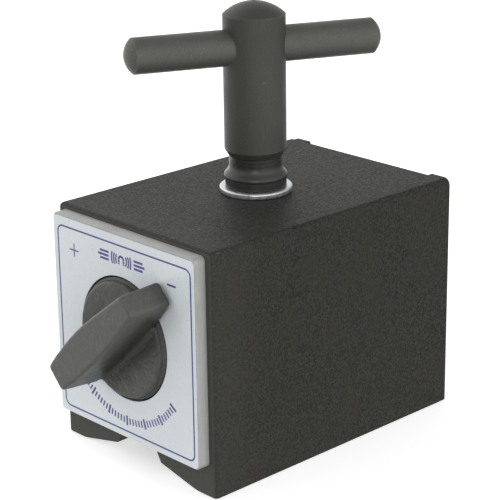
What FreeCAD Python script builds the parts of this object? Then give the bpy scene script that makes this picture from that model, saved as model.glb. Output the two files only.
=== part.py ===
import FreeCAD, Part
import math
import os

# Switchable permanent-magnet holder for welding work.
# A steel body split into two poles holds a rotor magnet in a bore that runs from front to rear.
# The knob on the front plate turns the rotor a quarter turn between its released and holding
# states. A screw with a cross-bar handle on top clamps a cable lug or bracket down on the body.
# Frame: origin at the middle of the sole. +X right as seen from the front, +Y front to rear,
# +Z up. Units: millimetres and degrees.

Vector = FreeCAD.Vector

# ---- shared dimensions ----
OVER = 1.0                # cutting shapes run this far past the faces they open onto
FAR = 90.0                # dividing boxes reach this far, well outside the body

BODY_W = 50.0             # across the poles
HALF_W = BODY_W / 2
BODY_H = 55.0
BODY_Y0 = -36.8           # front face of the steel body
BODY_Y1 = 34.8            # rear face of the steel body
EDGE_R = 1.1              # rounding of the outer edges
SOLE_EDGE_R = 0.5         # rounding of the sole's two outer edges

SOLE_FLAT = 20.0          # the flat strips of the sole start this far from the centre
VEE_IN = 7.4              # inner end of the shallow V
VEE_H = 2.8
SLOT_HW = 6.2             # half width of the slot between the poles
SLOT_LEAN_Z = 4.8         # the slot's walls lean up to this height
SLOT_TOP = 9.0

BORE_R = 15.5             # rotor bore
BORE_Z = 30.5

PLATE_W = 46.2            # front plate
PLATE_Z0, PLATE_Z1 = 7.1, 54.0
PLATE_T = 2.85
PLATE_CORNER = 1.2
PLATE_RIM_R = 0.3
PLATE_Y = BODY_Y0 - PLATE_T   # its front face
DIAL_HOLE_R = 13.95
LABEL_T = 0.15
LABEL_IN = 0.25           # the label stops this far inside the plate's outline
LABEL_TOP = 0.5           # the same at its top edge
LABEL_GAP = 0.05          # its hole is this much larger than the plate's

COVER_T = 2.0             # rear cover
COVER_Y = BODY_Y1 + COVER_T   # its rear face
COVER_LUG = 5.3           # width of its full-height corners
COVER_CUT = 2.6           # depth of its cut-away top edge
COVER_SLANT = 1.6         # sideways run of the cut-away's sloping ends
COVER_LIFT = 0.3          # its lower edge is this far above the sole
COVER_DROP = 0.1          # its top is this far below the body's top
COVER_CORNER = 1.7

# fixing screws of the plate and the cover
TAP_R, TAP_DEPTH = 1.5, 7.0       # their holes in the body
SHANK_R, SHANK_DEPTH = 1.45, 6.5
CLEAR_R = 1.6                     # their holes in the plate and cover
PLATE_SINK = 1.4                  # countersink depths
COVER_SINK = 1.5
COVER_SINK_R = 2.9
CROSS_HALF_L, CROSS_HALF_W = 1.6, 0.3   # cross recess


def corner_places(half_x, low, high):
    return [(x, z) for z in (low, high) for x in (-half_x, half_x)]


PLATE_SCREWS = corner_places(19.4, 11.0, 50.0)    # (x, z)
COVER_SCREWS = corner_places(19.5, 9.5, 46.5)

AXIS_Y = -0.4             # the clamp screw's vertical axis, slightly forward of the middle
STUD_Z0 = 47.4
STUD_HOLE_R = 4.03
STUD_HOLE_Z0 = STUD_Z0 - 0.6
STUD_HOLE_CHAMFER = 0.6

# ---- helpers ----


def box(x0, x1, y0, y1, z0, z1):
    return Part.makeBox(x1 - x0, y1 - y0, z1 - z0, Vector(x0, y0, z0))


def cyl_y(radius, y0, y1, x=0.0, z=BORE_Z):
    return Part.makeCylinder(radius, y1 - y0, Vector(x, y0, z), Vector(0, 1, 0))


def cone_y(radius0, radius1, y0, y1, x, z):
    return Part.makeCone(radius0, radius1, y1 - y0, Vector(x, y0, z), Vector(0, 1, 0))


def polygon_face(points):
    return Part.Face(Part.makePolygon(points + [points[0]]))


def prism_y(outline, y0, y1):
    """Straight prism along Y from a closed outline of (x, z) points."""
    return polygon_face([Vector(x, y0, z) for x, z in outline]).extrude(Vector(0, y1 - y0, 0))


VIA = True                # marks a profile point that an arc passes through


def turned(profile):
    """Solid of revolution about Z. profile: closed loop of (r, z) corners and (r, z, VIA)."""
    edges = []
    start = Vector(profile[0][0], 0, profile[0][1])
    via = None
    for r, z, *mark in profile[1:] + profile[:1]:
        point = Vector(r, 0, z)
        if mark:
            via = point
            continue
        if via is None:
            edges.append(Part.makeLine(start, point))
        else:
            edges.append(Part.Arc(start, via, point).toShape())
        start, via = point, None
    return Part.Face(Part.Wire(edges)).revolve(Vector(0, 0, 0), Vector(0, 0, 1), 360)


def dome_middle(radius, height, top):
    """Halfway point (r, z) of the arc from the rim of a spherical dome to its top."""
    sphere = (radius * radius + height * height) / (2 * height)
    angle = math.asin(radius / sphere) / 2
    return sphere * math.sin(angle), top - sphere + sphere * math.cos(angle)


def near(value, target, tolerance=1e-6):
    return abs(value - target) < tolerance


def edges_where(shape, test):
    """Edges whose two end points satisfy test(a, b)."""
    return [e for e in shape.Edges if test(e.Vertexes[0].Point, e.Vertexes[-1].Point)]


def edges_at_y(shape, y, tolerance=1e-6):
    return edges_where(shape, lambda a, b: near(a.y, y, tolerance) and near(b.y, y, tolerance))


def rounded_slab_y(x0, x1, z0, z1, y0, y1, radius):
    slab = box(x0, x1, y0, y1, z0, z1)
    return slab.makeFillet(radius, edges_where(slab, lambda a, b: abs(a.y - b.y) > 1e-6))


def one(shape):
    """The shape as a plain solid where it holds just one."""
    if shape.ShapeType != "Solid" and len(shape.Solids) == 1:
        return shape.Solids[0]
    return shape


def save(shape, name):
    shape = one(shape)
    if len(shape.Solids) == 1:
        shape = shape.removeSplitter()
    shape.exportStep("parts/%s.step" % name)


def save_group(solids, name):
    save(Part.makeCompound([one(s.removeSplitter()) for s in solids]), name)


def save_on_screw_axis(shape, name):
    """Saves a shape made about the Z axis, moved onto the clamp screw's axis."""
    shape.translate(Vector(0, AXIS_Y, 0))
    save(shape, name)


# ---- steel body ----


def sole_outline(lift=0.0):
    """Lower outline from left to right, its parts below the slot's top raised by lift."""
    left = [
        (-HALF_W, lift), (-SOLE_FLAT, lift), (-VEE_IN, VEE_H + lift),
        (-SLOT_HW, SLOT_LEAN_Z + lift), (-SLOT_HW, SLOT_TOP),
    ]
    return left + [(-x, z) for x, z in reversed(left)]


def is_body_edge(a, b):
    """Top side edges, and the side and top edges of the front face."""
    on_side = near(abs(a.x), HALF_W) and near(abs(b.x), HALF_W)
    on_front = near(a.y, BODY_Y0) and near(b.y, BODY_Y0)
    on_top = near(a.z, BODY_H) and near(b.z, BODY_H)
    return (
        (abs(a.y - b.y) > 1.0 and on_side and on_top)
        or (on_front and on_side and abs(a.z - b.z) > 1.0)
        or (on_front and on_top)
    )


def is_sole_edge(a, b):
    return abs(a.y - b.y) > 1.0 and near(a.z, 0) and near(b.z, 0) and near(abs(a.x), HALF_W)


def make_body():
    body = prism_y(sole_outline() + [(HALF_W, BODY_H), (-HALF_W, BODY_H)], BODY_Y0, BODY_Y1)
    body = body.makeFillet(EDGE_R, edges_where(body, is_body_edge))
    body = body.makeFillet(SOLE_EDGE_R, edges_where(body, is_sole_edge))
    body = body.cut(cyl_y(BORE_R, BODY_Y0 - OVER, BODY_Y1 + OVER))
    # blind hole for the clamp screw, chamfered at the top
    depth = BODY_H + OVER - STUD_HOLE_Z0
    body = body.cut(Part.makeCylinder(STUD_HOLE_R, depth, Vector(0, AXIS_Y, STUD_HOLE_Z0)))
    body = body.cut(Part.makeCone(
        STUD_HOLE_R, STUD_HOLE_R + STUD_HOLE_CHAMFER, STUD_HOLE_CHAMFER,
        Vector(0, AXIS_Y, BODY_H - STUD_HOLE_CHAMFER)))
    for x, z in PLATE_SCREWS:
        body = body.cut(cyl_y(TAP_R, BODY_Y0 - OVER, BODY_Y0 + TAP_DEPTH, x, z))
    for x, z in COVER_SCREWS:
        body = body.cut(cyl_y(TAP_R, BODY_Y1 - TAP_DEPTH, BODY_Y1 + OVER, x, z))
    return body


def save_body_pieces():
    """Divides the body into two poles and the spacers above and below between them."""
    body = make_body()
    for name, x0, x1, z0, z1 in (
        ("left_pole", -FAR, -SLOT_HW, -FAR, FAR),
        ("right_pole", SLOT_HW, FAR, -FAR, FAR),
        ("top_spacer", -SLOT_HW, SLOT_HW, BORE_Z, FAR),
        ("slot_spacer", -SLOT_HW, SLOT_HW, -FAR, BORE_Z),
    ):
        save(body.common(box(x0, x1, -FAR, FAR, z0, z1)), name)


# ---- front plate, label, rear cover and their screws ----


def cut_cross(screw, x, z, y0, y1):
    for half_x, half_z in ((CROSS_HALF_L, CROSS_HALF_W), (CROSS_HALF_W, CROSS_HALF_L)):
        screw = screw.cut(box(x - half_x, x + half_x, y0, y1, z - half_z, z + half_z))
    return screw


def front_plate():
    plate = rounded_slab_y(-PLATE_W / 2, PLATE_W / 2, PLATE_Z0, PLATE_Z1,
                           PLATE_Y, BODY_Y0, PLATE_CORNER)
    plate = plate.makeFillet(PLATE_RIM_R, edges_at_y(plate, PLATE_Y))
    plate = plate.cut(cyl_y(DIAL_HOLE_R, PLATE_Y - OVER, BODY_Y0 + OVER))
    sink_y = PLATE_Y + PLATE_SINK
    for x, z in PLATE_SCREWS:
        hole = cone_y(3.0, CLEAR_R, PLATE_Y, sink_y, x, z)
        plate = plate.cut(hole.fuse(cyl_y(CLEAR_R, sink_y, BODY_Y0 + OVER, x, z)))
    return plate


def plate_screw(x, z):
    sink_y = PLATE_Y + PLATE_SINK
    screw = cone_y(2.9, 1.5, PLATE_Y + 0.02, sink_y, x, z)
    screw = screw.fuse(cyl_y(SHANK_R, sink_y, BODY_Y0 + SHANK_DEPTH, x, z))
    return cut_cross(screw, x, z, PLATE_Y - OVER, PLATE_Y + 0.7)


def front_label():
    half_w = PLATE_W / 2 - LABEL_IN
    label = rounded_slab_y(-half_w, half_w, PLATE_Z0 + LABEL_IN, PLATE_Z1 - LABEL_TOP,
                           PLATE_Y - LABEL_T, PLATE_Y, PLATE_CORNER - LABEL_IN)
    return label.cut(cyl_y(DIAL_HOLE_R + LABEL_GAP, PLATE_Y - OVER, BODY_Y0 + OVER))


def is_cover_corner(a, b):
    return abs(a.y - b.y) > 1.0 and near(abs(a.x), HALF_W) and a.z > 50


def rear_cover():
    top = BODY_H - COVER_DROP
    lug_x = HALF_W - COVER_LUG
    right = [(HALF_W, top), (lug_x, top), (lug_x - COVER_SLANT, top - COVER_CUT)]
    left = [(-x, z) for x, z in reversed(right)]
    cover = prism_y(sole_outline(COVER_LIFT) + right + left, BODY_Y1, COVER_Y)
    cover = cover.makeFillet(COVER_CORNER, edges_where(cover, is_cover_corner))
    rim = edges_at_y(cover, COVER_Y)
    # guards against the fillet failing at the outline's sharp inner corners
    try:
        cover = cover.makeFillet(0.4, rim)
    except Exception:
        cover = cover.makeChamfer(0.3, rim)
    sink_y = COVER_Y - COVER_SINK
    for x, z in COVER_SCREWS:
        hole = cone_y(CLEAR_R, COVER_SINK_R, sink_y, COVER_Y, x, z)
        hole = hole.fuse(cyl_y(CLEAR_R, BODY_Y1 - OVER, sink_y, x, z))
        cover = cover.cut(hole.fuse(cyl_y(COVER_SINK_R, COVER_Y, COVER_Y + OVER, x, z)))
    return cover


def cover_screw(x, z):
    sink_y = COVER_Y - COVER_SINK
    screw = cone_y(SHANK_R, 2.75, sink_y, COVER_Y - 0.1, x, z)
    screw = screw.fuse(cyl_y(SHANK_R, BODY_Y1 - SHANK_DEPTH, sink_y, x, z))
    return cut_cross(screw, x, z, COVER_Y - 0.9, COVER_Y + OVER)


# ---- bearings and stop pin, fixed in the bore ----
FRONT_BUSH_Y = (-34.7, -30.7)
REAR_BUSH_Y = (30.25, 34.75)
JOURNAL_F = 10.0          # radius of the rotor's front journal
JOURNAL_R = 6.0           # radius of its rear journal
RUN = 0.05                # radial running clearance of the journals

STOP_R = 1.5              # stop pin
STOP_PCR = 12.75          # its distance from the rotor's axis
STOP_DEG = 90.0           # its direction, above +X
STOP_Y1 = -28.5           # its rear end


def stop_place(angle):
    """(x, z) on the stop pin's circle; angle in radians."""
    return STOP_PCR * math.cos(angle), BORE_Z + STOP_PCR * math.sin(angle)


def bush(span, journal_r):
    y0, y1 = span
    return cyl_y(BORE_R, y0, y1).cut(cyl_y(journal_r + RUN, y0 - OVER, y1 + OVER))


def front_bush():
    y0, y1 = FRONT_BUSH_Y
    x, z = stop_place(math.radians(STOP_DEG))
    return bush(FRONT_BUSH_Y, JOURNAL_F).cut(cyl_y(STOP_R, y0 - OVER, y1 + OVER, x, z))


def stop_pin():
    x, z = stop_place(math.radians(STOP_DEG))
    pin = cyl_y(STOP_R, FRONT_BUSH_Y[0] + 0.1, STOP_Y1, x, z)
    end_circles = [e for e in pin.Edges if len(e.Vertexes) == 1]
    return pin.makeChamfer(0.25, end_circles)


# ---- rotor ----
ROTOR_R = 15.42           # 0.08 clear of the bore
ROTOR_Y0, ROTOR_Y1 = -26.5, 26.5   # ends of the magnet and the rotor's poles
MAGNET_HW = 14.5          # half width of the magnet block
MAGNET_HT = 5.0           # half thickness of the magnet block
CAP_Y0, CAP_Y1 = -30.5, 30.0       # outer faces of the end caps
JOURNAL_Y0, JOURNAL_Y1 = -34.75, 34.3
TANG = 9.0                # side of the square drive end
TANG_Y0 = -38.0
TIE_ZS = (BORE_Z + 9.0, BORE_Z - 9.0)   # heights of the two tie screws
TIE_HOLE_R = 1.6
TIE_HEAD_Y = 27.6         # front of the tie screws' heads

SWING = 90.0              # travel of the knob
SLACK = 0.4               # extra travel in the stop groove at either end
GROOVE_R = STOP_R + 0.05  # half width of the stop groove
GROOVE_Y = (CAP_Y0 - 0.5, CAP_Y0 + 2.5)

KNOB_HOLE_R = 2.1         # hole for the knob screw
KNOB_SCREW_R = 2.0
KNOB_SCREW_Y0 = -46.0


def square_drive(y0, y1):
    half = TANG / 2
    return box(-half, half, y0, y1, BORE_Z - half, BORE_Z + half)


def save_rotor_core():
    save(box(-MAGNET_HW, MAGNET_HW, ROTOR_Y0, ROTOR_Y1, BORE_Z - MAGNET_HT, BORE_Z + MAGNET_HT),
         "rotor_magnet")
    core = cyl_y(ROTOR_R, ROTOR_Y0, ROTOR_Y1)
    for z in TIE_ZS:
        core = core.cut(cyl_y(TIE_HOLE_R, ROTOR_Y0 - OVER, ROTOR_Y1 + OVER, 0, z))
    for name, z0, z1 in (
        ("rotor_upper_pole", BORE_Z + MAGNET_HT, FAR),
        ("rotor_lower_pole", -FAR, BORE_Z - MAGNET_HT),
    ):
        save(core.common(box(-FAR, FAR, -FAR, FAR, z0, z1)), name)


def stop_groove():
    """Round-ended arc groove in which the stop pin rides."""
    y0, y1 = GROOVE_Y
    start = math.radians(STOP_DEG - SWING - SLACK)
    end = math.radians(STOP_DEG + SLACK)
    ring = cyl_y(STOP_PCR + GROOVE_R, y0, y1)
    ring = ring.cut(cyl_y(STOP_PCR - GROOVE_R, y0 - OVER, y1 + OVER))
    wedge = [(0.0, BORE_Z)]
    for angle in (start, (start + end) / 2, end):
        wedge.append((FAR * math.cos(angle), BORE_Z + FAR * math.sin(angle)))
    groove = ring.common(prism_y(wedge, y0 - OVER, y1 + OVER))
    for angle in (start, end):
        groove = groove.fuse(cyl_y(GROOVE_R, y0, y1, *stop_place(angle)))
    return groove


def rotor_front_cap():
    """Front cap with its journal and square drive end."""
    cap = cyl_y(ROTOR_R, CAP_Y0, ROTOR_Y0).fuse(cyl_y(JOURNAL_F, JOURNAL_Y0, CAP_Y0))
    cap = cap.fuse(square_drive(TANG_Y0, JOURNAL_Y0))
    cap = cap.cut(stop_groove())
    screw_hole = cyl_y(KNOB_HOLE_R, -40, ROTOR_Y0 + OVER)
    cap = cap.cut(screw_hole.fuse(cyl_y(3.7, -30.2, ROTOR_Y0 + OVER)))
    for z in TIE_ZS:
        cap = cap.cut(cyl_y(1.55, -29.6, ROTOR_Y0 + OVER, 0, z))
    return cap


def rotor_rear_cap():
    cap = cyl_y(ROTOR_R, ROTOR_Y1, CAP_Y1).fuse(cyl_y(JOURNAL_R, CAP_Y1, JOURNAL_Y1))
    for z in TIE_ZS:
        hole = cyl_y(TIE_HOLE_R, ROTOR_Y1 - OVER, CAP_Y1 + OVER, 0, z)
        cap = cap.cut(hole.fuse(cyl_y(2.8, TIE_HEAD_Y, CAP_Y1 + OVER, 0, z)))
    return cap


def tie_screw(z):
    screw = cyl_y(2.7, TIE_HEAD_Y, CAP_Y1 - 0.1, 0, z)
    screw = screw.fuse(cyl_y(1.5, -29.4, TIE_HEAD_Y, 0, z))
    return screw.cut(box(-2.8, 2.8, CAP_Y1 - 0.9, CAP_Y1 + OVER, z - 0.35, z + 0.35))


def knob_screw():
    """Headed at the rear, with a round recess in the head."""
    head_y = -30.15
    screw = cyl_y(3.5, head_y, ROTOR_Y0 - 0.1).fuse(cyl_y(KNOB_SCREW_R, KNOB_SCREW_Y0, head_y))
    return screw.cut(cyl_y(1.5, ROTOR_Y0 - 2.2, ROTOR_Y0))


# ---- switch knob ----
KNOB_R = 13.72
RIM_Y = PLATE_Y - LABEL_T # front of the dial's rim, level with the label
DISC_R = 12.95            # raised disc inside the rim
DISC_Y = BODY_Y0 - 4.35   # its front face
FLANGE_R = 15.2           # flange behind the front plate
FLANGE_Y0, FLANGE_Y1 = -36.7, -34.9
DIAL = [                  # (r, y) from the rear centre around to the front centre
    (0, FLANGE_Y1), (FLANGE_R, FLANGE_Y1), (FLANGE_R, FLANGE_Y0), (KNOB_R, FLANGE_Y0),
    (KNOB_R, RIM_Y + 0.3), (KNOB_R - 0.15, RIM_Y + 0.05), (KNOB_R - 0.35, RIM_Y),
    (13.2, RIM_Y + 0.06), (13.1, RIM_Y + 0.14), (13.06, RIM_Y - 0.1),
    (DISC_R, DISC_Y + 0.42), (DISC_R - 0.18, DISC_Y + 0.14), (DISC_R - 0.5, DISC_Y),
    (9.0, DISC_Y + 0.12), (0, DISC_Y + 0.2),
]

LEVER_ANGLE = math.radians(43.3)   # direction of the lever's narrow end, above +X
LEVER_OFF = 0.5           # sideways offset of the lever from the axis, to its upper side
LEVER_Y0 = BODY_Y0 - 13.6 # lever's front face
LEVER_Y1 = BODY_Y0 - 4.0  # underside of the parts of the lever that pass the dial's edge
ALONG = Vector(math.cos(LEVER_ANGLE), 0, math.sin(LEVER_ANGLE))
ACROSS = Vector(-math.sin(LEVER_ANGLE), 0, math.cos(LEVER_ANGLE))
# outlines: (place along the lever, half width on its upper side, half width on its lower side)
LEVER_FRONT = [
    (-14.6, 3.35, 2.85), (-10.4, 3.96, 3.22), (-6.3, 4.27, 3.46), (-2.0, 4.45, 3.60),
    (1.0, 4.47, 3.63), (5.2, 4.17, 3.56), (9.0, 3.84, 3.36), (12.8, 3.44, 3.06),
    (16.4, 3.03, 2.66), (19.7, 2.62, 2.24),
]
LEVER_REAR = [
    (-15.2, 3.75, 3.38), (-10.8, 4.36, 3.88), (-6.5, 4.70, 4.02), (-2.0, 4.86, 4.06),
    (1.1, 4.88, 4.06), (5.5, 4.56, 4.02), (9.6, 4.18, 3.95), (13.6, 3.72, 3.74),
    (17.4, 3.24, 3.32), (21.0, 2.76, 2.78),
]
# concave fillets: (side of the lever where each starts, radius)
WEB_UPPER = (4.55, 2.2)
WEB_LOWER = (-3.85, 1.3)
WEB_Y = DISC_Y + 0.22     # where the fillets meet the disc
WEB_HALF_L = 16
ARC_MID = 0.2929          # sagitta factor of a quarter arc: 1 - cos 45


def lever_point(along, across, y):
    return Vector(0, y, BORE_Z) + ALONG * along + ACROSS * (across + LEVER_OFF)


def spline(points):
    curve = Part.BSplineCurve()
    curve.interpolate(points)
    return curve.toShape()


def lever_wire(table, y):
    upper = [lever_point(s, up, y) for s, up, down in table]
    lower = [lever_point(s, -down, y) for s, up, down in reversed(table)]
    return Part.Wire([spline(upper), Part.makeLine(upper[-1], lower[0]),
                      spline(lower), Part.makeLine(lower[-1], upper[0])])


def lever_grip():
    sections = [lever_wire(LEVER_REAR, LEVER_Y1), lever_wire(LEVER_FRONT, LEVER_Y0)]
    grip = Part.makeLoft(sections, True, True)
    grip = grip.makeFillet(0.95, edges_where(grip, lambda a, b: abs(a.y - b.y) > 5.0))
    return grip.makeFillet(0.55, edges_at_y(grip, LEVER_Y0, tolerance=1e-5))


def lever_foot():
    """Joins the lever to the disc, inside the disc's edge."""
    y0 = LEVER_Y1 - 1.0
    foot = Part.Face(lever_wire(LEVER_REAR, y0)).extrude(Vector(0, 10.6, 0))
    return foot.common(cyl_y(DISC_R - 0.3, y0, RIM_Y + 1.0))


def web_side(side, radius):
    """Start, middle and end of one concave fillet's arc, and the point behind its end."""
    out = math.copysign(radius, side)
    return (
        lever_point(-WEB_HALF_L, side, WEB_Y - radius),
        lever_point(-WEB_HALF_L, side + out * ARC_MID, WEB_Y - radius * ARC_MID),
        lever_point(-WEB_HALF_L, side + out, WEB_Y),
        lever_point(-WEB_HALF_L, side + out, WEB_Y + 0.6),
    )


def lever_web():
    """Concave fillets along both sides of the lever, down to the disc."""
    up_start, up_mid, up_end, up_back = web_side(*WEB_UPPER)
    low_start, low_mid, low_end, low_back = web_side(*WEB_LOWER)
    edges = [
        Part.makeLine(up_start, low_start),
        Part.Arc(low_start, low_mid, low_end).toShape(),
        Part.makeLine(low_end, low_back),
        Part.makeLine(low_back, up_back),
        Part.makeLine(up_back, up_end),
        Part.Arc(up_end, up_mid, up_start).toShape(),
    ]
    face = Part.Face(Part.Wire(Part.sortEdges(edges)[0]))
    web = face.extrude(ALONG * (2 * WEB_HALF_L))
    return web.common(cyl_y(DISC_R - 0.35, DISC_Y - 6, RIM_Y + 1))


def switch_knob():
    dial = polygon_face([Vector(r, y, BORE_Z) for r, y in DIAL])
    dial = dial.revolve(Vector(0, 0, BORE_Z), Vector(0, 1, 0), 360)
    knob = dial.fuse(lever_foot()).fuse(lever_grip()).fuse(lever_web())
    knob = knob.cut(square_drive(TANG_Y0 - 0.2, -34))
    return knob.cut(cyl_y(KNOB_HOLE_R, KNOB_SCREW_Y0 - 0.5, -34))


# ---- clamp: washer, collar, stud, retaining ring, hub and cross bar ----
WASHER_R = 8.15
WASHER_HOLE_R = 4.25
WASHER_T = 1.4
COLLAR_Z0 = BODY_H + WASHER_T
COLLAR_H = 7.1
COLLAR = [                # (r, height above the collar's foot)
    (4.1, COLLAR_H), (4.1, 2.3), (5.6, 2.3), (5.6, 0), (6.65, 0), (6.85, 0.2), (6.85, 1.75),
    (7.0, 1.9), (7.12, 2.4, VIA), (6.98, 2.85), (6.72, 3.2), (6.14, 4.0, VIA), (5.95, 4.9),
    (5.95, 5.2), (5.85, 5.28), (5.85, 5.4), (5.95, 5.48),       # lower thin groove
    (5.95, 6.15), (5.85, 6.23), (5.85, 6.35), (5.95, 6.43),     # upper thin groove
    (5.95, COLLAR_H - 0.15), (5.8, COLLAR_H),
]
STUD_R = 3.95
STUD_ROOT_R = STUD_R - 0.62
STUD_PITCH = 1.25
STUD_Z1 = 78.0
RING_Z0, RING_Z1 = COLLAR_Z0 + 0.95, COLLAR_Z0 + 2.05   # groove of the retaining ring
RING_GAP = 0.05           # the ring's clearance above and below
HUB_R = 6.9
HUB_FOOT_R = 6.05
HUB_Z0 = COLLAR_Z0 + COLLAR_H + 0.05
HUB_Z1 = 94.85            # crease where its dome starts
HUB_DOME = 2.8
BAR_R = 4.0
BAR_Z = 87.8
BAR_HALF = 27.4           # to the crease where its domed ends start
BAR_DOME = 1.9
BAR_DEG = 65.3            # direction of the bar in plan, from +X


def flat_washer():
    z0, z1 = BODY_H + 0.02, BODY_H + WASHER_T
    return turned([
        (WASHER_HOLE_R, z0), (WASHER_R - 0.4, z0),
        (WASHER_R - 0.117, z0 + 0.117, VIA), (WASHER_R, z0 + 0.4),
        (WASHER_R, z1 - 0.45),
        (WASHER_R - 0.132, z1 - 0.132, VIA), (WASHER_R - 0.45, z1),
        (WASHER_HOLE_R, z1),
    ])


def clamp_collar():
    return turned([(r, COLLAR_Z0 + z, *mark) for r, z, *mark in COLLAR])


def clamp_stud():
    """Thread shown as rings of the real pitch, with a groove for the retaining ring."""
    z = STUD_Z0 + 0.4
    profile = [(0, STUD_Z0), (STUD_ROOT_R, STUD_Z0), (STUD_ROOT_R, z)]
    while z + STUD_PITCH < COLLAR_Z0 + 0.3:
        profile += [(STUD_R, z + STUD_PITCH * 0.42), (STUD_R, z + STUD_PITCH * 0.58)]
        z += STUD_PITCH
        profile.append((STUD_ROOT_R, z))
    profile += [
        (STUD_ROOT_R, z + 0.05), (STUD_R, z + 0.45),
        (STUD_R, RING_Z0), (3.3, RING_Z0), (3.3, RING_Z1), (STUD_R, RING_Z1),
        (STUD_R, STUD_Z1 - 0.5), (STUD_R - 0.5, STUD_Z1), (0, STUD_Z1),
    ]
    return turned(profile)


def retaining_ring():
    """Flat ring, open on its right side."""
    inner, outer = 3.32, 5.3
    z0, z1 = RING_Z0 + RING_GAP, RING_Z1 - RING_GAP
    ring = turned([(inner, z0), (outer, z0), (outer, z1), (inner, z1)])
    return ring.cut(box(2.4, 6.5, -1.6, 1.6, RING_Z0 - OVER, RING_Z1 + OVER))


def handle_hub():
    """Chamfered foot, straight barrel, domed top with a crisp crease and a centre mark."""
    top = HUB_Z1 + HUB_DOME
    hub = turned([
        (0, HUB_Z0), (HUB_FOOT_R, HUB_Z0), (HUB_R, HUB_Z0 + 1.4), (HUB_R, HUB_Z1),
        (*dome_middle(HUB_R, HUB_DOME, top), VIA), (0, top),
    ])
    hole_z0 = HUB_Z0 - OVER
    hub = hub.cut(Part.makeCylinder(STUD_R, STUD_Z1 + 1.0 - hole_z0, Vector(0, 0, hole_z0)))
    hub = hub.cut(Part.makeCone(0.0, 0.7, 0.55, Vector(0, 0, top - 0.42)))
    angle = math.radians(BAR_DEG)
    direction = Vector(math.cos(angle), math.sin(angle), 0)
    start = Vector(0, 0, BAR_Z) - direction * 20
    return hub.cut(Part.makeCylinder(BAR_R, 40, start, direction))


def handle_bar():
    tip = BAR_HALF + BAR_DOME
    mid_r, mid_z = dome_middle(BAR_R, BAR_DOME, tip)
    bar = turned([
        (0, -tip), (0, tip), (mid_r, mid_z, VIA), (BAR_R, BAR_HALF),
        (BAR_R, -BAR_HALF), (mid_r, -mid_z, VIA),
    ])
    bar.rotate(Vector(0, 0, 0), Vector(0, 1, 0), 90)    # lays it along +X
    bar.rotate(Vector(0, 0, 0), Vector(0, 0, 1), BAR_DEG)
    bar.translate(Vector(0, 0, BAR_Z))
    return bar


# ---- build ----
os.makedirs("parts", exist_ok=True)
save_body_pieces()
save(front_plate(), "front_plate")
save_group([plate_screw(x, z) for x, z in PLATE_SCREWS], "front_plate_screws")
save(front_label(), "front_label")
save(rear_cover(), "rear_cover")
save_group([cover_screw(x, z) for x, z in COVER_SCREWS], "rear_cover_screws")
save(front_bush(), "front_bush")
save(stop_pin(), "stop_pin")
save(bush(REAR_BUSH_Y, JOURNAL_R), "rear_bush")
save_rotor_core()
save(rotor_front_cap(), "rotor_front_cap")
save(rotor_rear_cap(), "rotor_rear_cap")
save_group([tie_screw(z) for z in TIE_ZS], "rotor_tie_screws")
save(switch_knob(), "switch_knob")
save(knob_screw(), "knob_screw")
save_on_screw_axis(flat_washer(), "flat_washer")
save_on_screw_axis(clamp_collar(), "clamp_collar")
save_on_screw_axis(clamp_stud(), "clamp_stud")
save_on_screw_axis(retaining_ring(), "stud_retaining_ring")
save_on_screw_axis(handle_hub(), "handle_hub")
save_on_screw_axis(handle_bar(), "handle_bar")
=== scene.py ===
"""A switchable magnetic base with a clamp stud and a handle on top.

It stands on z = 0. The labelled plate and the switch knob face the front, -Y. The knob's
axis runs along Y. Lengths are in metres, except the label print, which is drawn in mm.
"""
import math
from functools import cached_property

import bpy
import bmesh
from mathutils import Matrix, Vector
from mathutils import noise as mnoise


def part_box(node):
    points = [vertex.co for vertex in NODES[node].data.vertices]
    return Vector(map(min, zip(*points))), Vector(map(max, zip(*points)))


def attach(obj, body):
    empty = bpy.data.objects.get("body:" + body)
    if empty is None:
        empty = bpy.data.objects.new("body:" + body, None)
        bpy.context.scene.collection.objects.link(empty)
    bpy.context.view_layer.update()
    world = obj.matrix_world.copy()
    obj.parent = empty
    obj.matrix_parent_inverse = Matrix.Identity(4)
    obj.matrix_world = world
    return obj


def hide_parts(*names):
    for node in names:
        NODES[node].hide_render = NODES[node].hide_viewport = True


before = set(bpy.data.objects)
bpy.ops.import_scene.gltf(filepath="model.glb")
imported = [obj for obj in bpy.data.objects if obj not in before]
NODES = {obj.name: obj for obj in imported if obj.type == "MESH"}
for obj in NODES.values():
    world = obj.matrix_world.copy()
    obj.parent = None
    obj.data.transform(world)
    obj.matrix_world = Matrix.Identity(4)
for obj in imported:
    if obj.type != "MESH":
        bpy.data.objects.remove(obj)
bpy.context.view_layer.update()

MM = 0.001
SCENE = bpy.context.scene

DIAL_Z = 30.5            # height of the knob's axis, mm
AXIS_Z = DIAL_Z * MM
LEVER_ANGLE = math.radians(43.3)   # the lever's rise from +X, seen from the front


# ------------------------------------------------------------------ shader tools
def linear(rgb):
    """sRGB 0-255 to a linear colour with full alpha."""
    parts = [channel / 255.0 for channel in rgb]
    return (*(p / 12.92 if p <= 0.04045 else ((p + 0.055) / 1.055) ** 2.4 for p in parts), 1.0)


def add_node(tree, kind, inputs=None, **settings):
    """Adds a shader node. inputs maps socket names or indices to values or sockets."""
    node = tree.nodes.new("ShaderNode" + kind)
    for key, value in settings.items():
        setattr(node, key, value)
    for key, value in (inputs or {}).items():
        if isinstance(value, bpy.types.NodeSocket):
            tree.links.new(value, node.inputs[key])
        else:
            node.inputs[key].default_value = value
    return node


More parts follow.
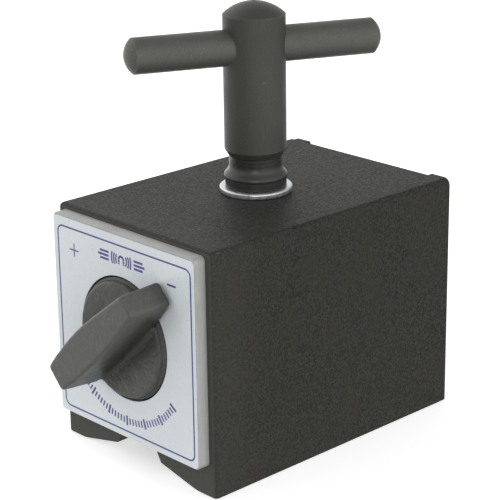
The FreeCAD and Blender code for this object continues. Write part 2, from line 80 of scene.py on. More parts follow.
class Shader:
    """Builds one material. A colour is an sRGB triple or a socket.

    In every method, over is the range of the input that is used, and to the range it becomes.
    """

    def __init__(self, name):
        self.material = bpy.data.materials.new(name)
        self.material.use_nodes = True
        self.tree = self.material.node_tree
        self.tree.nodes.clear()
        output = self.node("OutputMaterial")
        self.principled = self.node("BsdfPrincipled")
        self.tree.links.new(self.principled.outputs["BSDF"], output.inputs["Surface"])
        self.place = self.node("TexCoord").outputs["Object"]

    @cached_property
    def facing(self):
        return self.node("NewGeometry").outputs["Normal"]

    def node(self, kind, inputs=None, **settings):
        return add_node(self.tree, kind, inputs, **settings)

    def surface(self, color, roughness, normal=None, metal=0.0, specular=0.5):
        values = {"Base Color": color, "Roughness": roughness, "Normal": normal,
                  "Metallic": metal, "Specular IOR Level": specular}
        for key, value in values.items():
            socket = self.principled.inputs[key]
            if isinstance(value, bpy.types.NodeSocket):
                self.tree.links.new(value, socket)
            elif value is not None:
                socket.default_value = value
        return self.material

    # patterns
    def noise(self, scale, detail=3, rough=0.6, at=None):
        return self.node("TexNoise", {"Vector": at or self.place, "Scale": scale,
                                      "Detail": detail, "Roughness": rough}).outputs["Fac"]

    def cells(self, scale, feature="F1", out="Distance"):
        return self.node("TexVoronoi", {"Vector": self.place, "Scale": scale},
                         feature=feature).outputs[out]

    def stretched(self, scale):
        return self.node("Mapping", {"Vector": self.place, "Scale": scale}).outputs["Vector"]

    def lines(self, frequency, detail=3):
        """Streaks that run along the axis of lowest frequency."""
        return self.noise(scale=1, detail=detail, at=self.stretched(frequency))

    def xyz(self, vector=None):
        return self.node("SeparateXYZ", {0: vector or self.place}).outputs

    def vector(self, x, y, z):
        return self.node("CombineXYZ", {0: x, 1: y, 2: z}).outputs[0]

    # arithmetic
    def math(self, operation, a, b=0.0, clamp=False):
        return self.node("Math", {0: a, 1: b, 2: 0.0},
                         operation=operation, use_clamp=clamp).outputs[0]

    def add(self, a, b):
        return self.math("ADD", a, b)

    def subtract(self, a, b):
        return self.math("SUBTRACT", a, b)

    def multiply(self, a, b):
        return self.math("MULTIPLY", a, b)

    def blend(self, a, b, share):
        """The sum of a and b, with a weighted by its share and b by the rest."""
        return self.add(self.multiply(a, share), self.multiply(b, 1 - share))

    def ramp(self, value, over, to=(0.0, 1.0)):
        """A smooth, clamped step."""
        sockets = {"Value": value, "From Min": over[0], "From Max": over[1],
                   "To Min": to[0], "To Max": to[1]}
        return self.node("MapRange", sockets,
                         interpolation_type="SMOOTHSTEP", clamp=True).outputs["Result"]

    def lerp(self, mask, a, b):
        return self.node("Mix", {0: mask, 2: a, 3: b}, data_type="FLOAT").outputs[0]

    def vary(self, value, over, to):
        return self.lerp(self.ramp(value, over), *to)

    # colour layers
    def cover(self, base, top, mask):
        """Lays the top colour over the base where the mask is 1."""
        base, top = (linear(c) if isinstance(c, tuple) else c for c in (base, top))
        return self.node("Mix", {0: mask, 6: base, 7: top},
                         data_type="RGBA", blend_type="MIX").outputs[2]

    def tint(self, base, top, pattern, over, amount=1.0):
        """Lays the top colour over the base where the pattern is high."""
        return self.cover(base, top, self.ramp(pattern, over, to=(0.0, amount)))

    def gain(self, color, factor):
        return self.node("VectorMath", {0: color, "Scale": factor}, operation="SCALE").outputs[0]

    def specks(self, base, top, scale, above, amount):
        """Small dots where a fine noise peaks."""
        dots = self.math("GREATER_THAN", self.noise(scale, detail=1, rough=0.5), above)
        return self.cover(base, top, self.multiply(dots, amount))

    def edge(self, radius, bend):
        """1 on convex and concave edges, 0 on flat areas; bend is the range of turn."""
        rounded = self.node("Bevel", {"Radius": radius}, samples=4).outputs[0]
        dot = self.node("VectorMath", {0: rounded, 1: self.facing}, operation="DOT_PRODUCT")
        return self.ramp(self.subtract(1.0, dot.outputs["Value"]), over=bend)

    def rub(self, base, top, pattern, over, to, radius, bend=(0.02, 0.16)):
        """Wears the edges to the top colour, unevenly with the pattern."""
        worn = self.multiply(self.edge(radius, bend), self.ramp(pattern, over, to))
        return self.cover(base, top, worn)

    def paint_hollow_shade(self, base, factor, reach, over):
        """Paints shade into crevices narrower than the reach."""
        occlusion = self.node("AmbientOcclusion", {"Distance": reach}, samples=6)
        is_open = self.ramp(occlusion.outputs["AO"], over)
        return self.cover(self.gain(base, factor), base, is_open)

    def bump(self, height, depth, strength, under=None):
        """height is 0-1, depth is in metres, under is a normal to add to."""
        sockets = {"Strength": strength, "Distance": depth, "Height": height}
        if under is not None:
            sockets["Normal"] = under
        return self.node("Bump", sockets).outputs["Normal"]


# ------------------------------------------------------------------ materials
# overall level of each finish, so that they sit together under one light
LEVEL = {"paint": 0.68, "knob": 0.92, "hub": 0.93, "bar": 1.5, "collar": 1.05,
         "zinc": 0.95, "plate": 0.69, "label": 1.12}


def textured_paint(name, dark, light, sole=False, overspray=False):
    """Black textured paint: fine pebbled grain, sparse glints, slight wear on edges."""
    m = Shader(name)
    pebbles = m.cells(scale=2100, feature="SMOOTH_F1")
    grain = m.noise(scale=2500, detail=2)
    medium = m.noise(scale=1250, detail=2)
    broad = m.noise(scale=60)
    tone = m.ramp(m.blend(grain, medium, share=0.8), over=(0.38, 0.62))
    color = m.cover(dark, light, tone)
    color = m.tint(color, (58, 60, 51), broad, over=(0.35, 0.7), amount=0.22)
    # warm and olive tints that drift over the surface
    color = m.tint(color, (66, 59, 58), m.noise(scale=95, rough=0.5),
                   over=(0.45, 0.72), amount=0.4)
    drift = m.noise(scale=140, rough=0.5, at=m.stretched((1.0, 1.4, 0.6)))
    color = m.tint(color, (60, 63, 48), drift, over=(0.5, 0.72), amount=0.4)
    # glints: single grains of the paint that catch the light
    cell_value = m.xyz(m.cells(scale=1700, out="Color"))[0]
    near_centre = m.math("LESS_THAN", m.cells(scale=1700), b=0.3)
    glint = m.multiply(m.math("GREATER_THAN", cell_value, b=0.915), near_centre)
    glint = m.multiply(glint, m.ramp(m.noise(scale=75), over=(0.40, 0.62), to=(0.08, 0.62)))
    color = m.cover(color, (138, 140, 134), glint)
    # painted light: the paint grows lighter towards the front edge
    color = m.tint(color, (84, 84, 78), m.xyz()[1], over=(-0.0200, -0.0368), amount=0.30)
    # painted light: faces that look to the front are drawn lighter
    color = m.tint(color, (98, 98, 92), m.xyz(m.facing)[1], over=(-0.7, -0.95), amount=0.62)
    color = m.rub(color, (88, 88, 83), m.noise(scale=620, rough=0.7), over=(0.46, 0.72),
                  to=(0.0, 0.5), radius=0.0008, bend=(0.004, 0.09))
    rough = m.vary(tone, over=(0.0, 1.0), to=(0.62, 0.5))
    height = m.blend(pebbles, grain, share=0.55)
    color = m.gain(color, LEVEL["paint"])
    metal = 0.0
    grain_depth = 0.00016
    if sole:
        # low faces that look down are ground bare: fine lines along Y
        normal_z = m.xyz(m.facing)[2]
        low = m.math("LESS_THAN", m.xyz()[2], b=0.0036)
        down = m.multiply(m.ramp(normal_z, over=(-0.80, -0.90)), low)
        lines = m.lines(frequency=(5200, 90, 5200))
        bare = m.tint((118, 118, 116), (172, 172, 170), lines, over=(0.3, 0.7))
        bare = m.tint(bare, (96, 86, 74), m.noise(scale=120, detail=4, rough=0.65),
                      over=(0.5, 0.7), amount=0.6)
        color = m.cover(color, bare, down)
        rough = m.lerp(down, rough, m.vary(lines, over=(0.3, 0.7), to=(0.42, 0.26)))
        metal = m.multiply(down, 0.95)
        height = m.lerp(down, height, m.multiply(lines, 0.12))
        normal = m.bump(height, depth=grain_depth, strength=0.85)
    else:
        normal = m.bump(height, depth=grain_depth, strength=0.6)
        normal = m.bump(medium, depth=0.00008, strength=0.4, under=normal)
    if overspray:
        # bare alloy shows through in patches
        alloy = m.ramp(m.noise(scale=420, detail=4, rough=0.7), over=(0.42, 0.6))
        color = m.cover(color, (122, 120, 112), m.multiply(alloy, 0.7))
        metal = m.multiply(alloy, 0.7)
    return m.surface(color, rough, normal, metal, specular=0.15)


def cast_grey(name):
    """Dark grey painted casting: soft pitting, slightly glossy, lighter on rubbed edges, where
    the lightening also serves as a painted highlight.
    """
    m = Shader(name)
    grain = m.noise(scale=1500, detail=4)
    blotches = m.noise(scale=420, rough=0.55)
    pits = m.ramp(m.cells(scale=900, feature="SMOOTH_F1"), over=(0.05, 0.4))
    color = m.tint((80, 81, 77), (90, 90, 86), grain, over=(0.35, 0.68))
    color = m.tint(color, (88, 83, 80), blotches, over=(0.45, 0.7), amount=0.3)
    # worn edges, drawn lighter; the lightening also serves as a painted edge highlight
    color = m.rub(color, (122, 121, 116), m.noise(scale=700), over=(0.3, 0.65),
                  to=(0.3, 0.85), radius=0.0007, bend=(0.02, 0.14))
    color = m.specks(color, (150, 150, 148), scale=1900, above=0.752, amount=0.4)
    # the disc, behind the lever, keeps the rough skin of the mould; the lever is smoother
    disc = m.ramp(m.xyz()[1], over=(-0.0440, -0.0425))
    skin = m.multiply(disc, m.ramp(grain, over=(0.42, 0.62), to=(0.15, 0.6)))
    color = m.cover(color, (60, 61, 58), skin)
    # painted shade: the knob's crevices are darkened where shade falls, under the lever and
    # round the dial
    color = m.paint_hollow_shade(color, factor=0.32, reach=0.010, over=(0.34, 0.90))
    # painted shadow along the lever's foot, on its lower side, where the lever shades the disc;
    # across is measured square to the lever
    x, y, z = m.xyz()
    across = m.subtract(m.multiply(m.subtract(z, AXIS_Z), round(math.cos(LEVER_ANGLE), 4)),
                        m.multiply(x, round(math.sin(LEVER_ANGLE), 4)))
    across = m.add(across, m.multiply(m.subtract(blotches, 0.5), 0.002))
    foot = m.multiply(m.ramp(across, over=(-0.0088, -0.0052)),
                      m.ramp(across, over=(-0.0020, -0.0030)))
    foot = m.multiply(foot, m.ramp(y, over=(-0.0490, -0.0440)))
    color = m.cover(color, (36, 36, 34), m.multiply(foot, 0.62))
    rough = m.vary(blotches, over=(0.3, 0.7), to=(0.38, 0.48))
    # the relief is stronger on the disc than on the lever
    relief = m.multiply(m.blend(grain, pits, share=0.4), m.lerp(disc, a=1.2, b=3.3))
    normal = m.bump(relief, depth=0.00005, strength=0.7)
    normal = m.bump(blotches, depth=0.00006, strength=0.4, under=normal)
    return m.surface(m.gain(color, LEVEL["knob"]), rough, normal, specular=0.44)


def blackened(name, dark, light, frequency, rough=(0.54, 0.42), metal=0.25, level=1.0):
    """Chemically blackened steel: matte, very fine grain, faint drawn or turned lines."""
    m = Shader(name)
    grain = m.noise(scale=3800)
    lines = m.lines(frequency)
    blotches = m.noise(scale=110, detail=4, rough=0.62)
    color = m.tint(dark, light, grain, over=(0.3, 0.7))
    color = m.tint(color, (76, 77, 70), lines, over=(0.4, 0.72), amount=0.22)
    color = m.tint(color, (70, 68, 66), blotches, over=(0.48, 0.74), amount=0.35)
    color = m.rub(color, (118, 118, 111), m.noise(scale=900, rough=0.7), over=(0.36, 0.66),
                  to=(0.15, 0.75), radius=0.0006)
    color = m.specks(color, (124, 124, 120), scale=1500, above=0.768, amount=0.3)
    roughness = m.vary(blotches, over=(0.35, 0.7), to=rough)
    normal = m.bump(grain, depth=0.00004, strength=0.6)
    normal = m.bump(lines, depth=0.00003, strength=0.5, under=normal)
    return m.surface(m.gain(color, level), roughness, normal, metal)


def turned_black(name):
    """Dark turned and oiled steel: rings round the vertical axis, shiny."""
    m = Shader(name)
    z = m.xyz()[2]

    def rings(frequency, detail):
        height = m.multiply(z, frequency)
        return m.noise(scale=1, detail=detail, rough=0.5, at=m.vector(0.0, 0.0, height))

    fine = rings(frequency=5200, detail=2)
    coarse = rings(frequency=1500, detail=1)
    blotches = m.noise(scale=260)
    color = m.tint((50, 51, 48), (66, 66, 63), fine, over=(0.35, 0.65))
    color = m.tint(color, (72, 66, 63), blotches, over=(0.5, 0.72), amount=0.4)
    color = m.rub(color, (106, 105, 99), m.noise(scale=900, rough=0.55), over=(0.35, 0.6),
                  to=(0.2, 0.7), radius=0.0005)
    # painted shade in the collar's crevices
    color = m.paint_hollow_shade(color, factor=0.62, reach=0.005, over=(0.20, 0.85))
    # painted shade on everything above 61 mm, where the hub above shades the neck, broken by the
    # coarse rings
    neck_shade = m.add(m.ramp(z, over=(0.0606, 0.0618)),
                 m.multiply(m.ramp(coarse, over=(0.5, 0.6)), -0.3))
    color = m.cover(color, (28, 28, 26), m.math("MULTIPLY", neck_shade, b=0.62, clamp=True))
    normal = m.bump(fine, depth=0.000012, strength=0.5)
    normal = m.bump(coarse, depth=0.00002, strength=0.4, under=normal)
    rough = m.vary(blotches, over=(0.3, 0.7), to=(0.30, 0.40))
    return m.surface(m.gain(color, LEVEL["collar"]), rough, normal, metal=0.4)


def zinc(name):
    """Bright zinc plate: pale, with a faint spangle and handling scratches."""
    m = Shader(name)
    spangle = m.noise(scale=700)
    fine = m.noise(scale=3600, detail=2)
    scratches = m.lines(frequency=(400, 6000, 2500), detail=2)
    color = m.tint((196, 198, 199), (212, 214, 214), spangle, over=(0.35, 0.66))
    color = m.tint(color, (168, 170, 172), scratches, over=(0.58, 0.7), amount=0.25)
    color = m.tint(color, (190, 194, 196), m.noise(scale=300), over=(0.55, 0.75), amount=0.3)
    rough = m.vary(spangle, over=(0.35, 0.7), to=(0.26, 0.36))
    normal = m.bump(m.blend(fine, scratches, share=0.6), depth=0.000008, strength=0.5)
    return m.surface(m.gain(color, LEVEL["zinc"]), rough, normal, metal=0.85)


def plate_metal(name):
    """Satin cast alloy plate: pale grey, with fine upright lines and soft dirt."""
    m = Shader(name)
    fine = m.noise(scale=3000)
    lines = m.lines(frequency=(3800, 3800, 160))
    blotches = m.noise(scale=170, detail=4)
    color = m.tint((196, 197, 194), (210, 211, 208), lines, over=(0.35, 0.68))
    color = m.tint(color, (184, 185, 180), blotches, over=(0.45, 0.72), amount=0.4)
    worn = m.edge(radius=0.0004, bend=(0.02, 0.2))
    color = m.cover(color, (222, 223, 221), m.multiply(worn, 0.4))
    rough = m.vary(blotches, over=(0.3, 0.7), to=(0.42, 0.54))
    normal = m.bump(m.blend(fine, lines, share=0.5), depth=0.000015, strength=0.6)
    return m.surface(m.gain(color, LEVEL["plate"]), rough, normal, metal=0.3)


def label_film(name):
    """White printed film: faintly blue, with a soft orange-peel and a little handling dirt."""
    m = Shader(name)
    peel = m.noise(scale=380, detail=2, rough=0.5)
    fine = m.noise(scale=2400, detail=2, rough=0.5)
    cloud = m.noise(scale=38, detail=4)
    color = m.tint((213, 219, 222), (210, 215, 220), cloud, over=(0.35, 0.7))
    color = m.tint(color, (198, 202, 205), m.noise(scale=210, detail=4, rough=0.65),
                   over=(0.56, 0.78), amount=0.12)
    color = m.specks(color, (150, 152, 158), scale=1300, above=0.765, amount=0.35)
    rough = m.vary(peel, over=(0.3, 0.7), to=(0.22, 0.30))
    normal = m.bump(m.blend(peel, fine, share=0.7), depth=0.000008, strength=0.5)
    return m.surface(m.gain(color, LEVEL["label"]), rough, normal)


def ink(name, dark, light):
    """Blue print, slightly faded in patches."""
    m = Shader(name)
    grain = m.noise(scale=2600, rough=0.65)
    fade = m.noise(scale=240)
    color = m.tint(dark, light, grain, over=(0.35, 0.68))
    color = m.tint(color, (112, 118, 168), fade, over=(0.5, 0.75), amount=0.25)
    return m.surface(color, m.lerp(grain, a=0.36, b=0.5),
                     m.bump(grain, depth=0.00001, strength=0.5))


def ground_steel(name):
    """Bright steel with grinding lines along Y."""
    m = Shader(name)
    lines = m.lines(frequency=(4200, 140, 4200))
    blotches = m.noise(scale=120, detail=4)
    color = m.tint((132, 132, 130), (184, 184, 182), lines, over=(0.3, 0.7))
    color = m.tint(color, (120, 112, 104), blotches, over=(0.5, 0.75), amount=0.4)
    rough = m.vary(lines, over=(0.3, 0.7), to=(0.4, 0.26))
    return m.surface(color, rough, m.bump(lines, depth=0.00003, strength=0.7), metal=0.95)


def brass(name):
    """Brass with turned rings about the knob's axis."""
    m = Shader(name)
    x, _, z = m.xyz()
    side = m.subtract(x, 0.0)
    rise = m.subtract(z, AXIS_Z)
    radius = m.math("SQRT", m.add(m.multiply(side, side), m.multiply(rise, rise)))
    rings = m.noise(scale=1, detail=2, rough=0.5,
                    at=m.vector(m.multiply(radius, 4200), 0.0, 0.0))
    blotches = m.noise(scale=150, detail=4)
    color = m.tint((186, 150, 84), (216, 182, 112), rings, over=(0.35, 0.65))
    color = m.tint(color, (140, 106, 62), blotches, over=(0.5, 0.75), amount=0.45)
    rough = m.vary(blotches, over=(0.3, 0.7), to=(0.26, 0.42))
    return m.surface(color, rough, m.bump(rings, depth=0.00003, strength=0.6), metal=0.95)


def ferrite(name):
    """Dull dark magnet block with faint lines."""
    m = Shader(name)
    grain = m.noise(scale=2400, detail=4, rough=0.65)
    lines = m.lines(frequency=(300, 4200, 300))
    color = m.tint((52, 52, 54), (84, 84, 86), grain, over=(0.35, 0.68))
    color = m.tint(color, (102, 102, 104), lines, over=(0.5, 0.72), amount=0.4)
    normal = m.bump(m.blend(grain, lines, share=0.6), depth=0.00005, strength=0.7)
    return m.surface(color, m.lerp(grain, a=0.5, b=0.68), normal, metal=0.1)


BLOCK_PAINT = {"dark": (43, 44, 39), "light": (68, 69, 63)}
MATERIALS = {
    "pole": textured_paint("pole_paint", **BLOCK_PAINT, sole=True),
    "spacer": textured_paint("spacer_paint", **BLOCK_PAINT),
    "slot": textured_paint("slot_overspray", **BLOCK_PAINT, overspray=True),
    "cover": textured_paint("cover_paint", dark=(42, 43, 38), light=(67, 68, 62)),
    "plate": plate_metal("plate_alloy"),
    "label": label_film("label_white"),
    "ink": ink("label_blue", dark=(58, 64, 128), light=(80, 86, 148)),
    "ink_dark": ink("label_deep_blue", dark=(62, 62, 132), light=(86, 86, 152)),
    "knob": cast_grey("knob_casting"),
    "hub": blackened("hub_blackened", dark=(57, 58, 52), light=(66, 67, 61),
                     frequency=(2600, 2600, 300), level=LEVEL["hub"]),
    "bar": blackened("bar_blackened", dark=(61, 62, 57), light=(72, 73, 67),
                     frequency=(1500, 700, 2600), level=LEVEL["bar"]),
    "collar": turned_black("collar_turned"),
    "stud": turned_black("stud_turned"),
    "zinc": zinc("zinc_plate"),
    "screw": blackened("screw_black", dark=(44, 45, 42), light=(66, 67, 62),
                       frequency=(2600, 2600, 2600), rough=(0.46, 0.34), metal=0.6),
    "steel": ground_steel("ground_steel"),
    "brass": brass("turned_brass"),
    "magnet": ferrite("ferrite_block"),
}
# CAD piece: material
PIECES = {
    "left_pole": "pole", "right_pole": "pole", "top_spacer": "spacer", "slot_spacer": "slot",
    "front_plate": "plate", "front_plate_screws": "zinc", "front_label": "label",
    "rear_cover": "cover", "rear_cover_screws": "screw",
    "front_bush": "brass", "stop_pin": "steel", "rear_bush": "brass",
    "switch_knob": "knob", "knob_screw": "zinc", "rotor_front_cap": "brass",
    "rotor_magnet": "magnet", "rotor_upper_pole": "steel", "rotor_lower_pole": "steel",
    "rotor_rear_cap": "brass", "rotor_tie_screws": "zinc", "flat_washer": "zinc",
    "clamp_collar": "collar", "clamp_stud": "stud", "stud_retaining_ring": "stud",
    "handle_hub": "hub", "handle_bar": "bar",
}
for piece, key in PIECES.items():
    ob = NODES[piece]
    if not ob.material_slots:
        ob.data.materials.append(MATERIALS[key])
    for slot in ob.material_slots:
        slot.material = MATERIALS[key]


# ------------------------------------------------------------------ knob: one soft-edged casting
KNOB_MERGE = 2e-6            # vertices closer than this are joined
KNOB_VOXEL = 0.00024
SKIN_BACK_Y = -0.0382        # the uneven skin lies in front of this
SKIN_DEPTH = 0.00003
SKIN_FREQUENCY = 420.0
TOE_Y = (-0.0443, -0.0409)   # where the lever's foot meets the disc
TOE_RADIUS = 0.0123
LEVER_OFFSET = 0.0005        # the lever's centre line from the knob's axis
TOE_BANDS = ((-0.0078, -0.0031), (0.0038, 0.0092))   # across the lever, one on each side


def bake_modifiers(ob, mesh_name):
    """Applies the object's modifiers and returns its new mesh."""
    bpy.context.view_layer.update()
    depsgraph = bpy.context.evaluated_depsgraph_get()
    mesh = bpy.data.meshes.new_from_object(ob.evaluated_get(depsgraph), depsgraph=depsgraph)
    mesh.name = mesh_name
    ob.modifiers.clear()
    ob.data = mesh
    return mesh


def roughen_skin(mesh):
    """Gives the visible side a very shallow unevenness. Returns the flat coordinate list."""
    coords = [0.0] * (3 * len(mesh.vertices))
    normals = coords.copy()
    mesh.vertices.foreach_get("co", coords)
    mesh.vertex_normals.foreach_get("vector", normals)
    for i in range(0, len(coords), 3):
        if coords[i + 1] < SKIN_BACK_Y:
            place = Vector([c * SKIN_FREQUENCY for c in coords[i:i + 3]])
            # fractal dimension, lacunarity, octaves
            push = SKIN_DEPTH * mnoise.fractal(place, 0.9, 2.0, 3)
            for j in range(i, i + 3):
                coords[j] += normals[j] * push
    mesh.vertices.foreach_set("co", coords)
    return coords


def toe_vertices(coords):
    """Vertices beside the lever's foot, on both sides."""
    cosine, sine = math.cos(LEVER_ANGLE), math.sin(LEVER_ANGLE)
    toe = []
    for i in range(len(coords) // 3):
        x, y, z = coords[3 * i:3 * i + 3]
        z -= AXIS_Z
        across = -sine * x + cosine * z - LEVER_OFFSET
        if (TOE_Y[0] < y < TOE_Y[1] and x * x + z * z < TOE_RADIUS ** 2
                and any(low < across < high for low, high in TOE_BANDS)):
            toe.append(i)
    return toe


def build_knob():
    mesh = NODES["switch_knob"].data.copy()
    bm = bmesh.new()
    bm.from_mesh(mesh)
    bmesh.ops.remove_doubles(bm, verts=bm.verts, dist=KNOB_MERGE)
    bm.to_mesh(mesh)
    bm.free()
    ob = bpy.data.objects.new("switch_knob_casting", mesh)
    SCENE.collection.objects.link(ob)
    remesh = ob.modifiers.new("voxels", "REMESH")
    remesh.mode = "VOXEL"
    remesh.voxel_size = KNOB_VOXEL
    remesh.use_smooth_shade = True
    soften = ob.modifiers.new("soften", "SMOOTH")
    soften.factor = 0.5
    soften.iterations = 5
    coords = roughen_skin(bake_modifiers(ob, "switch_knob_casting"))
    # the lever's foot runs softly into the disc
    ob.vertex_groups.new(name="toe").add(toe_vertices(coords), 1.0, "REPLACE")
    blend = ob.modifiers.new("toe", "SMOOTH")
    blend.vertex_group = "toe"
    blend.factor = 0.5
    blend.iterations = 50
    mesh = bake_modifiers(ob, "switch_knob_casting_soft")
    mesh.polygons.foreach_set("use_smooth", [True] * len(mesh.polygons))
    mesh.update()
    mesh.materials.clear()
    mesh.materials.append(MATERIALS["knob"])
    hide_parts("switch_knob")
    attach(ob, "switch")


build_knob()

# ------------------------------------------------------------------ label print
# Shapes are loops of (x, z) points in mm, anticlockwise as seen from the front.
LABEL_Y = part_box("front_label")[0].y
PRINT_BACK_Y = LABEL_Y + 0.002 * MM     # just inside the film
PRINT_FRONT_Y = LABEL_Y - 0.018 * MM

BORDER_X = (-21.4, 21.9)
BORDER_Z = (8.87, 51.45)
BORDER_WIDTH = 0.38
BORDER_RADIUS = 1.4                     # inner corner

PLUS_X, PLUS_Z = -15.95, 46.65
PLUS_REACH, PLUS_HALF = 1.5, 0.16       # half the length and half the width of its strokes
MINUS = {"x": 16.0, "z": 46.7, "width": 2.7, "height": 0.42}

MARK_X, MARK_Z = 0.0, 48.35
SHOE_RADIUS, SHOE_WIDTH = 0.78, 0.52
SHOE_LEGS = ((-0.42, 0.62), (-0.98, 0.28))              # z from MARK_Z, height
FIELD_RADII = (1.75, 2.45, 3.15)
RULES = ((0.75, 2.9), (-0.1, 3.5), (-0.95, 2.9))        # z from MARK_Z, width
RULE_START = 4.1

TICK_COUNT, TICK_START, TICK_STEP = 37, -144.0, 3.0     # degrees
LONG_TICK_EVERY = 6
LONG_TICK = (17.9, 20.2, 0.55)          # inner radius, outer radius, width
SHORT_TICK = (18.3, 19.8, 0.42)


def add_loop(bm, points, y):
    return [bm.verts.new((x * MM, y, z * MM)) for x, z in points]


def add_shape(bm, points):
    """A thin raised shape."""
    back = add_loop(bm, points, PRINT_BACK_Y)
    front = add_loop(bm, points, PRINT_FRONT_Y)
    bm.faces.new(front)
    bm.faces.new(list(reversed(back)))
    for i in range(len(points)):
        j = (i + 1) % len(points)
        bm.faces.new((front[i], back[i], back[j], front[j]))


def add_ribbon(bm, inner, outer, closed=True):
    """A thin raised band between two matching loops."""
    fi, fo = (add_loop(bm, points, PRINT_FRONT_Y) for points in (inner, outer))
    bi, bo = (add_loop(bm, points, PRINT_BACK_Y) for points in (inner, outer))
    count = len(inner)
    for i in range(count if closed else count - 1):
        j = (i + 1) % count
        bm.faces.new((fi[i], fi[j], fo[j], fo[i]))
        bm.faces.new((bi[j], bi[i], bo[i], bo[j]))
        bm.faces.new((fo[i], fo[j], bo[j], bo[i]))
        bm.faces.new((fi[j], fi[i], bi[i], bi[j]))
    if not closed:
        bm.faces.new((fi[0], fo[0], bo[0], bi[0]))
        bm.faces.new((bi[-1], bo[-1], fo[-1], fi[-1]))


def add_bar(bm, x, z, width, height, degrees=0.0):
    """A rectangle about (x, z)."""
    c, s = math.cos(math.radians(degrees)), math.sin(math.radians(degrees))
    corners = ((a * width / 2, b * height / 2) for a, b in ((-1, -1), (1, -1), (1, 1), (-1, 1)))
    add_shape(bm, [(x + c * a - s * b, z + s * a + c * b) for a, b in corners])


def add_arc(bm, x, z, radius, width, start, end, segments):
    """An arc band about (x, z), from start to end in degrees."""
    angles = [math.radians(start + (end - start) * k / segments) for k in range(segments + 1)]
    inner, outer = ([(x + r * math.cos(t), z + r * math.sin(t)) for t in angles]
                    for r in (radius - width / 2, radius + width / 2))
    add_ribbon(bm, inner, outer, closed=False)


def border_loop(grow, radius, segments=10):
    """The border's centre line grown outwards, with rounded corners."""
    x0, x1 = BORDER_X[0] - grow + radius, BORDER_X[1] + grow - radius
    z0, z1 = BORDER_Z[0] - grow + radius, BORDER_Z[1] + grow - radius
    points = []
    for x, z, start in ((x1, z1, 0), (x0, z1, 90), (x0, z0, 180), (x1, z0, 270)):
        for k in range(segments + 1):
            angle = math.radians(start + 90 * k / segments)
            points.append((x + radius * math.cos(angle), z + radius * math.sin(angle)))
    return points


def draw_border(bm):
    half = BORDER_WIDTH / 2
    add_ribbon(bm, border_loop(-half, BORDER_RADIUS),
               border_loop(half, BORDER_RADIUS + BORDER_WIDTH))


def draw_signs(bm):
    """Plus and minus. The plus is three bars, so every face is convex."""
    add_bar(bm, PLUS_X, PLUS_Z, 2 * PLUS_REACH, 2 * PLUS_HALF)
    for side in (1, -1):
        add_bar(bm, PLUS_X, PLUS_Z + side * (PLUS_REACH + PLUS_HALF) / 2,
                2 * PLUS_HALF, PLUS_REACH - PLUS_HALF)
    add_bar(bm, **MINUS)


def draw_magnet_mark(bm):
    """A horseshoe, open downwards, between field lines and rules."""
    add_arc(bm, MARK_X, MARK_Z - 0.05, SHOE_RADIUS, SHOE_WIDTH, start=0, end=180, segments=16)
    for side in (-1, 1):
        for z, height in SHOE_LEGS:
            add_bar(bm, MARK_X + side * SHOE_RADIUS, MARK_Z + z, SHOE_WIDTH, height)
        middle = 0 if side > 0 else 180
        for k, radius in enumerate(FIELD_RADII):
            spread = 35 - 5 * k
            add_arc(bm, MARK_X, MARK_Z - 0.1, radius, width=0.42,
                    start=middle - spread, end=middle + spread, segments=10)
        for z, width in RULES:
            add_bar(bm, MARK_X + side * (RULE_START + width / 2), MARK_Z + z, width, height=0.5)


def draw_scale(bm):
    """An arc of graduation ticks under the dial."""
    for k in range(TICK_COUNT):
        degrees = TICK_START + TICK_STEP * k
        angle = math.radians(degrees)
        inner, outer, width = SHORT_TICK if k % LONG_TICK_EVERY else LONG_TICK
        middle = (inner + outer) / 2
        add_bar(bm, middle * math.cos(angle), DIAL_Z + middle * math.sin(angle),
                outer - inner, width, degrees)


def make_object(name, bm, material):
    """Turns the bmesh into a linked object with one material."""
    mesh = bpy.data.meshes.new(name)
    bm.to_mesh(mesh)
    bm.free()
    mesh.materials.append(material)
    ob = bpy.data.objects.new(name, mesh)
    SCENE.collection.objects.link(ob)
    return ob


for name, draw, key in (("label_border", draw_border, "ink"),
                        ("label_signs", draw_signs, "ink"),
                        ("label_magnet_mark", draw_magnet_mark, "ink_dark"),
                        ("label_scale", draw_scale, "ink")):
    bm = bmesh.new()
    draw(bm)
    bmesh.ops.recalc_face_normals(bm, faces=bm.faces)
    ob = make_object(name, bm, MATERIALS[key])
    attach(ob, "base")


# ------------------------------------------------------------------ floor
def floor_material():
    m = Shader("floor_pale")
    color = m.tint((246, 246, 246), (250, 250, 250), m.noise(scale=6, rough=0.55),
                   over=(0.3, 0.7))
    m.principled.inputs["Emission Color"].default_value = (1.0, 1.0, 1.0, 1.0)
    m.principled.inputs["Emission Strength"].default_value = 0.52
    return m.surface(color, roughness=0.9, specular=0.1)


bm = bmesh.new()
bmesh.ops.create_grid(bm, x_segments=1, y_segments=1, size=6.0)
floor = make_object("floor", bm, floor_material())
floor.location = (0, 0, -0.00002)
# the floor is only a pale backdrop; the light tent stands in for what it throws back
floor.visible_diffuse = False
floor.visible_glossy = False
floor.visible_shadow = False
floor.visible_transmission = False

# ------------------------------------------------------------------ light tent
# soft white panels: direction, tightness (power of the cosine), strength
TENT = [
    ((0.0, 0.0, 1.0), 1.5, 0.257),
    ((0.0, -1.0, 0.15), 2.0, 0.614),
    ((-1.0, 0.0, 0.15), 2.0, 1.55),
    ((1.0, 0.0, 0.15), 2.0, 1.473),
    ((0.0, 1.0, 0.15), 2.0, 0.469),
    ((0.0, 0.0, -1.0), 1.0, 0.427),
    ((-0.69, 0.65, -0.40), 10.0, 1.6),
]
BACKDROP = 0.96    # even brightness that the camera sees


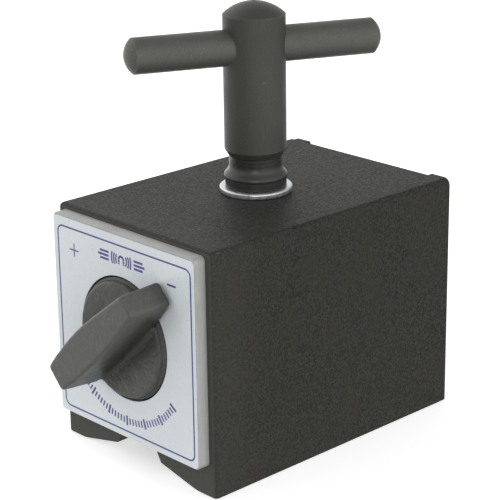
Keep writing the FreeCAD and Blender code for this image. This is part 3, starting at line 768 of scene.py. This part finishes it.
def build_world():
    world = bpy.data.worlds.new("studio")
    world.use_nodes = True
    tree = world.node_tree
    background = tree.nodes["Background"]
    background.inputs[0].default_value = (1.0, 1.0, 1.0, 1.0)

    def combine(operation, a, b):
        return add_node(tree, "Math", {0: a, 1: b}, operation=operation).outputs[0]

    generated = add_node(tree, "TexCoord").outputs["Generated"]
    look = add_node(tree, "VectorMath", {0: generated}, operation="NORMALIZE").outputs[0]
    total = None
    for direction, tightness, strength in TENT:
        dot = add_node(tree, "VectorMath", {0: look, 1: Vector(direction).normalized()},
                       operation="DOT_PRODUCT").outputs["Value"]
        lobe = combine("POWER", combine("MAXIMUM", dot, 0.0), tightness)
        lobe = combine("MULTIPLY", lobe, strength)
        total = lobe if total is None else combine("ADD", total, lobe)
    seen = add_node(tree, "LightPath").outputs["Is Camera Ray"]
    pick = add_node(tree, "Mix", {0: seen, 2: total, 3: BACKDROP}, data_type="FLOAT")
    tree.links.new(pick.outputs[0], background.inputs[1])
    SCENE.world = world


build_world()


# ------------------------------------------------------------------ lamps
def area_light(name, place, target, size, watts, color=(1, 1, 1)):
    light = bpy.data.lights.new(name, "AREA")
    light.shape = "RECTANGLE"
    light.size, light.size_y = size
    light.energy = watts
    light.color = color
    ob = bpy.data.objects.new(name, light)
    ob.location = place
    ob.rotation_euler = (Vector(target) - Vector(place)).to_track_quat("-Z", "Y").to_euler()
    SCENE.collection.objects.link(ob)
    return ob


area_light("key", place=(-0.30, -0.90, 0.60), target=(0, 0, 0.03), size=(0.9, 0.9), watts=0.5)
# a narrow strip draws the line of light down the turned collar
strip = area_light("strip", place=(0.62, -0.66, 0.22), target=(0, 0, 0.06),
                   size=(0.10, 0.45), watts=0.9, color=(0.93, 0.97, 1.0))
strip.visible_diffuse = False

# ------------------------------------------------------------------ camera
CAMERA_PLACE = (0.280468, -0.266503, 0.175133)
CAMERA_RIGHT = (0.688616, 0.725010, -0.013007)
CAMERA_VIEW = (-0.687838, 0.647422, -0.328215)

lens = bpy.data.cameras.new("camera")
lens.sensor_width = 36.0
lens.lens = 130.56
lens.clip_start = 0.01
lens.clip_end = 50
camera = bpy.data.objects.new("camera", lens)
view = Vector(CAMERA_VIEW).normalized()
up = Vector(CAMERA_RIGHT).normalized().cross(view).normalized()
right = view.cross(up).normalized()    # made exactly square to the view
pose = Matrix((right, up, -view)).transposed().to_4x4()
pose.translation = CAMERA_PLACE
camera.matrix_world = pose
SCENE.collection.objects.link(camera)
SCENE.camera = camera
SCENE.view_settings.view_transform = "Standard"
SCENE.view_settings.look = "None"
